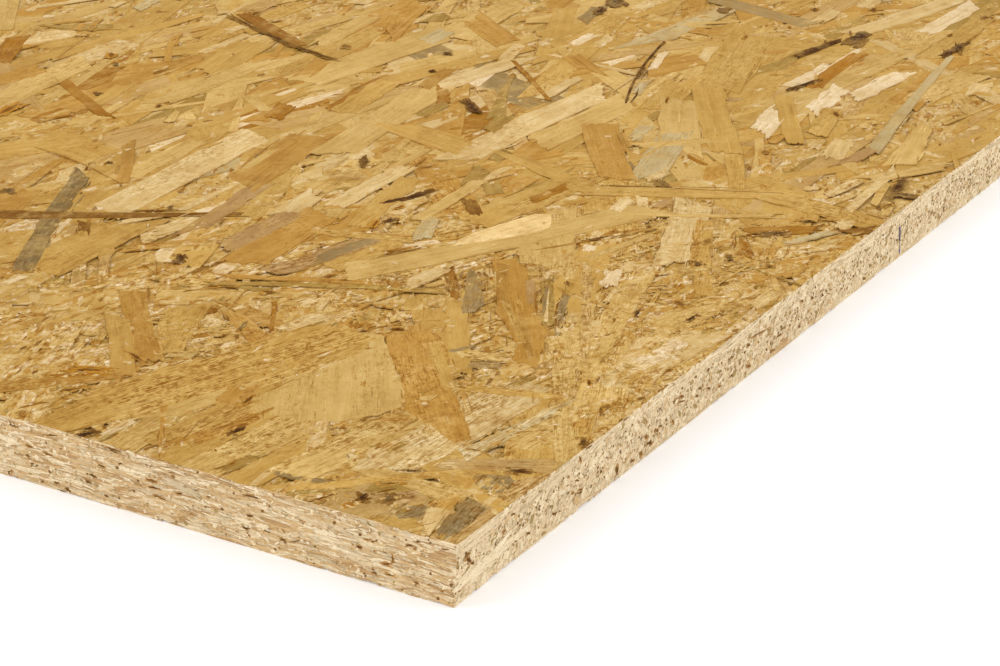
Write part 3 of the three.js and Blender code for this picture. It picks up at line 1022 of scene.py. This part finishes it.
def lay_streaks(mesh, rng, middle, angle, size, rank, tone):
    """Lays long streaks of other shades on a strand, along its grain."""
    length, width = size
    count = int(length * width / STREAK_AREA)
    across = side_by_side(rng, count) * width
    lengths = np.minimum(6 + rng.gamma(2, 5, count), 0.7 * length)
    along = rng.uniform(-0.5, 0.5, count) * (length - 0.8 * lengths)
    middles = middle + np.column_stack([along, across]) @ axes(angle[0])
    widths = rng.uniform(0.4, 1.1, count) * width / (count + 1)
    mesh.lay(splinter_outlines(rng, lengths, np.clip(widths, 0.3, 2.0), 3), middles,
             angle + rng.normal(0, 0.01, count), stacked(rank, STACK_RISE, count),
             deepened(tone, rng.uniform(0.82, 1.16, count)), rng, HAIR_CUT)


def lay_bits(mesh, rng, middles, angle, spread, ranks, tones):
    """Lays small torn bits at those middles, turned that way, give or take the spread."""
    count = len(middles)
    lengths = 0.8 + rng.gamma(2, 0.75, count)
    outlines = chip_outlines(rng, lengths, lengths * rng.uniform(0.2, 0.6, count), 6)
    mesh.lay(outlines, middles, angle + rng.normal(0, spread, count), ranks, tones, rng, CRUMB_CUT)


def lay_torn(mesh, rng, patches, ranks):
    """Covers each torn patch, given as its middle and its reach, with bits."""
    for middle, reach in patches:
        count = int(0.5 * reach**2)
        out = reach * np.sqrt(rng.random(count)) * rng.uniform(0.7, 1.1, count)
        turn = rng.uniform(0, 2 * math.pi, count)
        middles = np.array(middle) + np.stack([np.cos(turn), np.sin(turn)], 1) * out[:, None]
        lay_bits(mesh, rng, middles, rng.normal(0, 0.6), 0.45, rng.uniform(*ranks, count),
                 (3 * drawn(rng, CHIP_TONES, count) + STRAW) / 4)


def lay_hollows(mesh, rng, rows, ranks):
    """Lays the listed hollows: a dark sliver on a cluster of small chips, lighter further out, which
    paints the shade of a hollow, deepest in its middle.

    A pale row's chips and sliver, partly painted glints, are all of its own tone. Where the board is
    rough the chips are strewn wider than the row says.
    """
    for tone, start, end, width in rows:
        start, end = np.array(start, float), np.array(end, float)
        middle, along = (start + end)[None] / 2, end - start
        length, angle = np.linalg.norm(along), math.atan2(along[1], along[0])
        spill = 0.6 + 0.8 * roughness(mesh.on, middle)[0]
        count = int(np.clip(spill * length * width / 0.8, 8, 40))
        x, y = spill * rng.uniform(-0.5, 0.5, count), spill * rng.normal(0, 0.3, count)
        inward = np.argsort(-np.hypot(x, y))
        x, y = x[inward], y[inward]
        middles = middle + np.column_stack([x * length, y * width]) @ axes(angle)
        lengths = rng.uniform(0.2, 0.6, count) * length + 0.5
        outlines = chip_outlines(rng, lengths, rng.uniform(0.2, 0.5, count) * width + 0.3, 7)
        lightest = AMBER.max() / tone.max()
        shades = np.minimum(0.5 + 3.0 * np.hypot(x, y), lightest) * rng.uniform(0.85, 1.15, count)
        cut, sliver_shade = HOLLOW_CUT, 0.65
        if tone.max() > PALE_FROM:
            shades = rng.uniform(0.92, 1.04, count)
            cut, sliver_shade = SECTION_CUT, 1.0
        order = np.linspace(*ranks, count + 1)
        mesh.lay(outlines, middles, angle + rng.normal(0, 0.2, count), order[:-1],
                 deepened(tone, shades), rng, cut)
        sliver = splinter_outlines(rng, np.array([0.9 * length]), np.array([0.6 * width]), 5)
        mesh.lay(sliver, middle, np.array([angle]), order[-1:],
                 deepened(tone[None], np.array([sliver_shade])), rng, cut)


def face_tile(on, i, j, kind="strands"):
    """A tile's window on a side of the board, and a mesh for its flakes, which reach past it."""
    low, high = np.array((i, j)) * TILE, np.array((i + 1, j + 1)) * TILE
    past = 70
    mesh = FlakeMesh(f"{on.name}_{kind}_{i}_{j}", on, FACE_DEPTH, ARRIS, low - past, high + past)
    return (low, high), mesh


def make_near_face(seed, material):
    """The near corner's tile, in three pieces: what lies under, the strands that show, and bits."""
    rng = np.random.default_rng(seed)
    seen = ((0, 0), VIEW_REACH)
    window, under = face_tile(TOP, 0, 0)
    tile_core(under, TOP, window)
    lay_strands(under, rng, window, coverage=2.6, steps=4, teeth=3, ranks=(0.15, 0.62))
    lay_scraps(under, rng, seen, coverage=1.3, ranks=(0.55, 0.62))
    under.finish(material)

    _, near = face_tile(TOP, 0, 0, "near")
    lay_near(near, rng, NEAR_STRANDS, ranks=(0.74, 0.94))
    near.finish(material)

    _, over = face_tile(TOP, 0, 0, "fibres")
    lay_torn(over, rng, TORN_PATCHES, ranks=(0.93, 0.97))
    lay_hollows(over, rng, NEAR_HOLLOWS, ranks=(0.975, 0.985))
    lay_slivers(over, rng, seen, density=1, steps=4, ranks=(0.93, 0.97))
    lay_crumbs(over, rng, seen, density=80, ranks=(0.9, 0.97))
    lay_fibres(over, rng, ((0, 0), CLOSE_REACH), density=20, tones=FIBRE_TONES, spread=0.35,
               cut=SLIVER_CUT, ranks=(0.96, 1.0))
    over.finish(material)


def make_face(on, seed, material, coverage, skip=()):
    """A whole face in tiles, apart from the tiles to skip."""
    for i in range(round(on.length / TILE)):
        for j in range(round(on.height / TILE)):
            if (i, j) in skip:
                continue
            rng = np.random.default_rng((seed, i, j))
            window, mesh = face_tile(on, i, j)
            tile_core(mesh, on, window)
            lay_strands(mesh, rng, window, coverage, steps=2, teeth=2, ranks=(0.2, 0.95))
            lay_slivers(mesh, rng, window, density=10, steps=2, ranks=(0.85, 0.98))
            # dark slivers: bits of bark, and painted shade in the voids between strands
            lay_slivers(mesh, rng, window, density=1.3, steps=4, ranks=(0.985, 1.0),
                        tones=HOLLOW_TONES, widths=(1.0, 3.5))
            mesh.finish(material)


# ---- the sawn edges

CORE = 0.2, 0.78  # from where to where the core lies, as shares of the board's thickness
SKINS = (0, 0.06), (0.8, 1)  # the same for the two skins, where they show most
NEAR_FRONT = 480  # how much of the front edge, from the near corner, is seen close up
NEAR_LEFT = 170  # the same of the left edge


def lay_sections(mesh, rng, window, coverage, steps, lengths, widths, tones=SAWN_TONES, ranks=(0, 0.7)):
    """Covers part of a sawn edge with the cut sections of strands, thin lenses on the saw's plane."""
    mean_area = (lengths[0] + lengths[1]) / 2 * (widths[0] + widths[1]) / 2
    count, middles = strewn(rng, window, coverage, mean_area)
    outlines = splinter_outlines(rng, rng.uniform(*lengths, count), rng.uniform(*widths, count), steps)
    mesh.lay(outlines, middles, rng.normal(0, 0.06, count), np.linspace(*ranks, count),
             drawn(rng, tones, count), rng, SECTION_CUT)


def lay_grains(mesh, rng, window, density, lengths, tones, cut=PIT_CUT, ranks=(0.8, 0.95)):
    """Grains, or pits and pores by their tones, whose dark is painted shade, between the sections;
    density is as for slivers.
    """
    count, middles = strewn(rng, window, density, SQUARE_DM)
    long = rng.uniform(*lengths, count)
    outlines = chip_outlines(rng, long, long * rng.uniform(0.4, 0.9, count), 5)
    mesh.lay(outlines, middles, rng.normal(0, 0.5, count), rng.uniform(*ranks, count),
             drawn(rng, tones, count), rng, cut)


# The pits and streaks that show most on the two near edges, placed one by one: tone, the two ends of
# each in millimetres from the near corner and above the edge's foot, and how wide it is.
# The dark of these pits is painted shade; their rust and olive are the wood's own.
FRONT_MARKS = [
    (SAWN_PALE, (0, 5), (35, 7.5), 2.6), (SAWN_RUST, (4.5, 12.6), (7.5, 13), 1.6),
    (SAWN_DARK, (5.2, 12), (8, 10.2), 1.5), (SAWN_DARK, (8, 9.8), (10, 8.8), 0.7),
    (SAWN_RUST, (25, 11.5), (27, 11.6), 1), (SAWN_DARK, (39.5, 5.6), (41.6, 4.8), 0.8),
    (SAWN_DARK, (54.5, 5.2), (56.8, 4.8), 0.9), (SAWN_DARK, (32, 6), (33.8, 5.6), 0.5),
    (SAWN_DARK, (30, 14.8), (32, 14.3), 0.6), (SAWN_RUST, (69, 17), (71, 14.6), 1.6),
    (SAWN_RUST, (70, 6.6), (73, 5.6), 1.2), (SAWN_DARK, (70, 5.6), (72.6, 4.9), 0.5),
    (SAWN_RUST, (65.6, 7.2), (67.6, 6.8), 0.8), (SAWN_DARK, (68, 10), (70, 9.5), 0.7),
    (SAWN_DARK, (94, 4.6), (95.6, 2), 2), (SAWN_RUST, (103.6, 2.6), (106.6, 2), 0.9),
    (SAWN_RUST, (109, 3.4), (111.6, 1.8), 1.7), (SAWN_RUST, (112, 7.4), (114.4, 6), 1.2),
    (SAWN_DARK, (114, 4.4), (118, 3), 1.2), (SAWN_RUST, (118.6, 6.8), (122, 5.4), 1.4),
    (SAWN_DARK, (122, 6.8), (124, 6.3), 0.6), (SAWN_RUST, (135, 11.6), (138.6, 10.2), 1.3),
    (SAWN_DARK, (135, 9.8), (139, 9), 0.5), (SAWN_RUST, (130.6, 5.6), (132.8, 4.2), 1.2),
    (SAWN_DARK, (155.4, 7), (157.6, 6.3), 0.8), (SAWN_DARK, (149, 9.3), (151, 8.7), 0.6),
    (SAWN_RUST, (163.6, 5), (166, 4), 1.1), (SAWN_DARK, (172.6, 5.2), (174.6, 4.6), 0.8),
    (SAWN_DARK, (171.6, 11.4), (174, 11), 0.6), (SAWN_RUST, (185, 4.4), (189, 2.8), 1.4),
    (SAWN_RUST, (187, 12.8), (200, 11.6), 0.5), (SAWN_RUST, (204, 2.8), (208, 2), 1.2),
    (SAWN_BROWN, (213, 3.6), (218, 2.2), 1.4), (SAWN_TAN, (204, 1.4), (218, 1.2), 1.4),
    (SAWN_TAN, (235, 1.8), (240, 1.2), 1.6), (SAWN_RUST, (281, 3), (284, 2), 1.4),
    (SAWN_DARK, (244, 9), (246, 8), 1.2), (SAWN_DARK, (226, 3.6), (228, 3.2), 1),
    (SAWN_OLIVE, (36, 16), (38, 15.6), 1), (SAWN_OLIVE, (52, 8.4), (55, 7.6), 1),
    (SAWN_OLIVE, (163, 9.8), (166, 9), 1.2), (SAWN_DARK, (145, 14.2), (147, 13.8), 0.8),
    (SAWN_DARK, (154, 13.4), (156, 13), 0.8), (SAWN_DARK, (147, 7.4), (149, 7), 0.8),
    (SAWN_DARK, (184, 11.3), (186.5, 10.6), 1), (SAWN_DARK, (208, 6.3), (212, 5.8), 0.6),
    (SAWN_DARK, (226, 12.6), (228, 12), 0.8), (SAWN_DARK, (235, 10.8), (237, 10.2), 0.8),
    (SAWN_DARK, (74, 17.7), (77, 17.6), 0.6), (SAWN_DARK, (96, 17.8), (100, 17.7), 0.4),
    (INK, (313, 11.5), (315.5, 2), 0.8),
]
LEFT_MARKS = [
    (SAWN_PALE, (35, 10.3), (47, 11.3), 1.3), (SAWN_PALE, (14, 5.4), (25, 6), 0.9),
    (SAWN_PALE, (56, 7.5), (59.5, 7), 2), (SAWN_GREY, (78, 11), (88, 12.4), 1.8),
    (SAWN_PALE, (62, 7), (70, 7.4), 0.9), (SAWN_PALE, (69, 9.7), (76, 9.9), 0.6),
    (SAWN_PALE, (127, 4.3), (137, 3.6), 0.8), (SAWN_PALE, (137, 11), (144, 11), 2.2),
    (SAWN_PALE, (121, 8.6), (127, 8.9), 1.3), (SAWN_DARK, (27.7, 9.6), (29.4, 9.4), 1),
    (SAWN_RUST, (19, 7.4), (22, 6.4), 1.3), (SAWN_RUST, (18.4, 7.6), (18.7, 10.2), 0.9),
    (SAWN_RUST, (25, 12.5), (27.2, 12.2), 0.5), (SAWN_DARK, (23.2, 3.5), (24.3, 3.3), 0.7),
    (SAWN_RUST, (17.6, 4.4), (20.8, 4), 0.8), (SAWN_RUST, (10.4, 4), (12, 4.1), 0.9),
    (SAWN_DARK, (50.5, 5.3), (52.6, 5.1), 0.8), (SAWN_GREY, (35.5, 2.6), (41, 2.8), 0.8),
    (SAWN_DARK, (13.2, 14.3), (15, 13.8), 0.6), (SAWN_DARK, (10.6, 15.9), (12.3, 15.7), 0.5),
    (SAWN_DARK, (2.6, 15.9), (4.2, 15.7), 0.5), (SAWN_DARK, (108, 11.1), (110.3, 11.4), 0.6),
    (SAWN_DARK, (103.6, 16.8), (107.6, 17), 0.5), (SAWN_DARK, (111, 7.5), (113, 7.8), 0.8),
    (SAWN_DARK, (112.7, 5.3), (114.4, 5.5), 0.9), (SAWN_DARK, (106.8, 2.7), (108.2, 2.8), 0.5),
    (SAWN_DARK, (90.3, 9.3), (94, 9.1), 0.7), (SAWN_RUST, (91, 11), (95, 11.2), 1.2),
    (SAWN_DARK, (83.3, 9.9), (84.8, 9.7), 0.8), (SAWN_RUST, (89.6, 7), (92.6, 7.1), 0.7),
    (SAWN_DARK, (59.6, 15.1), (64.4, 14.9), 0.5), (SAWN_DARK, (62, 5.5), (64.2, 5.3), 0.8),
    (SAWN_DARK, (61, 9.4), (62.8, 9.1), 0.7), (SAWN_DARK, (137.3, 15.4), (139.8, 15.7), 0.6),
    (SAWN_RUST, (131.8, 10.8), (134.4, 11), 1.1), (SAWN_RUST, (124.6, 9.8), (128.6, 10.2), 1),
    (SAWN_DARK, (132.6, 7.7), (134.2, 7.9), 0.6), (SAWN_DARK, (123.2, 2.2), (124.8, 2.4), 0.7),
    (SAWN_DARK, (114, 18), (119, 18), 0.7),
]


def mirrored(rows, length):
    """The same rows, measured from the other end of an edge of that length."""
    return [(tone, (length - a, b), (length - c, d), width) for tone, (a, b), (c, d), width in rows]


def lay_cut_ends(mesh, rng, whole, core):
    """Strands cut across, seen close up: their ends and pits, and the two skins cut along."""
    lay_grains(mesh, rng, whole, 6000, (1.4, 4.5), END_TONES, SECTION_CUT, (0.0, 0.7))
    lay_grains(mesh, rng, core, 2600, (0.5, 1.7), PIT_TONES)
    (start, _), (stop, height) = whole
    for low, high in SKINS:
        skin = ((start, low * height), (stop, high * height))
        lay_sections(mesh, rng, skin, 1.0, 4, (6, 25), (0.4, 1.0), SKIN_TONES, (0.6, 0.9))


def lay_cut_sides(mesh, rng, whole, _):
    """Strands cut along, seen close up: their sections, with fibres, grains and pits all over."""
    lay_sections(mesh, rng, whole, 2.2, 4, (3, 15), (0.5, 1.3))
    lay_fibres(mesh, rng, whole, 1800, FLECK_TONES, 0.14, PIT_CUT, (0.7, 0.95))
    lay_grains(mesh, rng, whole, 2000, (0.6, 2.2), FLECK_TONES)
    lay_grains(mesh, rng, whole, 1000, (0.4, 1.8), PIT_TONES)


def lay_far_cut(mesh, rng, whole, core):
    """What is seen from further off: larger sections, and a few pits in the core."""
    lay_sections(mesh, rng, whole, 2.0, 3, (10, 50), (0.9, 2.4))
    lay_grains(mesh, rng, core, 150, (1.5, 4), PIT_TONES)


def make_edge(on, seed, material, lay_near_cut=lay_far_cut, near=(0, 0), marks=()):
    """A sawn edge in tiles.

    near is the stretch that is seen close up, from where to where along the edge, lay_near_cut
    covers it, and marks are what shows most there.
    """
    for i in range(round(on.length / TILE)):
        rng = np.random.default_rng((seed, i))
        a0, a1 = i * TILE, (i + 1) * TILE
        low, high = (a0 - 40, -1), (a1 + 40, on.height + 1)
        mesh = FlakeMesh(f"{on.name}_edge_{i}", on, EDGE_DEPTH, SAW_RIM, low, high)
        foot, head = 0.5, on.height - 0.5
        mesh.add_block((a0 + 0.6, foot, -0.6), (a1 - 0.6, head, -EDGE_DEPTH - BLOCK_GAP), SAWN)
        n0, n1 = (min(max(end, a0), a1) for end in near)
        for start, stop, lay in ((a0, n0, lay_far_cut), (n0, n1, lay_near_cut), (n1, a1, lay_far_cut)):
            if stop - start < 1:
                continue
            whole = ((start, 0), (stop, on.height))
            core = ((start, on.height * CORE[0]), (stop, on.height * CORE[1]))
            lay(mesh, rng, whole, core)
            if lay is not lay_far_cut:
                lay_hollows(mesh, rng, marks, (0.96, 1.0))
        mesh.finish(material)


# ---- camera, light and floor

def make_camera():
    """The photograph's view: a long lens just off the near corner, looking down along the board."""
    focal_px, image_px, sensor_mm = 3036.27, 1000, 36.0
    from_corner = Vector((-615.87, -318.75, 337.59))  # of the lens, from the near corner of the top
    pitch, roll, yaw = (math.radians(v) for v in (21.9176, 3.5089, 26.7500))
    ahead = Vector((math.cos(yaw), math.sin(yaw), 0))
    forward = ahead * math.cos(pitch) - Vector((0, 0, math.sin(pitch)))
    level = Vector((math.sin(yaw), -math.cos(yaw), 0))
    upright = level.cross(forward)
    right = level * math.cos(roll) + upright * math.sin(roll)
    up = upright * math.cos(roll) - level * math.sin(roll)
    data = bpy.data.cameras.new("camera")
    data.sensor_width = sensor_mm
    data.lens = focal_px * sensor_mm / image_px
    data.clip_start, data.clip_end = 0.05, 60
    camera = bpy.data.objects.new("camera", data)
    turn = Matrix((right, up, -forward)).transposed().to_4x4()
    near_corner = Vector((X0, Y0, Z1))
    camera.matrix_world = Matrix.Translation((near_corner + from_corner) * MM) @ turn
    bpy.context.scene.collection.objects.link(camera)
    bpy.context.scene.camera = camera


def add_lamp(name, place, size, power):
    """A square lamp of that size in metres, which shines on the middle of the board."""
    data = bpy.data.lights.new(name, "AREA")
    data.size, data.energy = size, power
    lamp = bpy.data.objects.new(name, data)
    lamp.location = place
    lamp.rotation_euler = Vector(place).to_track_quat("Z", "Y").to_euler()
    bpy.context.scene.collection.objects.link(lamp)


def make_stage():
    """A white floor in a plain white world, which looks whiter than it shines, and two soft lamps."""
    world = bpy.data.worlds.new("studio")
    world.use_nodes = True
    tree = world.node_tree
    background = tree.nodes["Background"]
    background.inputs["Color"].default_value = (1, 1, 1, 1)
    background.inputs["Strength"].default_value = 0.8
    seen = tree.nodes.new("ShaderNodeBackground")
    seen.inputs["Color"].default_value = (1, 1, 1, 1)
    path, mix = tree.nodes.new("ShaderNodeLightPath"), tree.nodes.new("ShaderNodeMixShader")
    tree.links.new(path.outputs["Is Camera Ray"], mix.inputs[0])
    tree.links.new(background.outputs[0], mix.inputs[1])
    tree.links.new(seen.outputs[0], mix.inputs[2])
    tree.links.new(mix.outputs[0], tree.nodes["World Output"].inputs["Surface"])
    bpy.context.scene.world = world

    add_lamp("key", place=(-3.5, 2.5, 3.5), size=3.0, power=84)
    add_lamp("fill", place=(1.5, -4.0, 3.0), size=3.0, power=58)

    reach = 15.0
    corners = [(x * reach, y * reach, 0) for x, y in ((-1, -1), (1, -1), (1, 1), (-1, 1))]
    mesh = bpy.data.meshes.new("floor")
    mesh.from_pydata(corners, [], [(0, 1, 2, 3)])
    floor = bpy.data.objects.new("floor", mesh)
    m = Nodes("floor")
    m.shader.inputs["Base Color"].default_value = (0.9, 0.9, 0.9, 1)
    m.shader.inputs["Roughness"].default_value = 0.9
    m.shader.inputs["Emission Color"].default_value = (1, 1, 1, 1)
    m.shader.inputs["Emission Strength"].default_value = 0.2
    mesh.materials.append(m.material)
    bpy.context.scene.collection.objects.link(floor)


# ---- the whole

make_camera()
make_stage()
bpy.context.scene.view_settings.view_transform = "Standard"

face, sawn = face_material(), sawn_material()
make_near_face(10, face)
make_face(TOP, 11, face, coverage=1.9, skip=[(0, 0)])
make_face(UNDER, 12, face, coverage=1.4)
make_edge(FRONT, 21, sawn, lay_cut_ends, (0, NEAR_FRONT), FRONT_MARKS)
make_edge(BACK, 22, sawn)
make_edge(LEFT, 23, sawn, lay_cut_sides, (WIDTH - NEAR_LEFT, WIDTH), mirrored(LEFT_MARKS, WIDTH))
make_edge(RIGHT, 24, sawn)
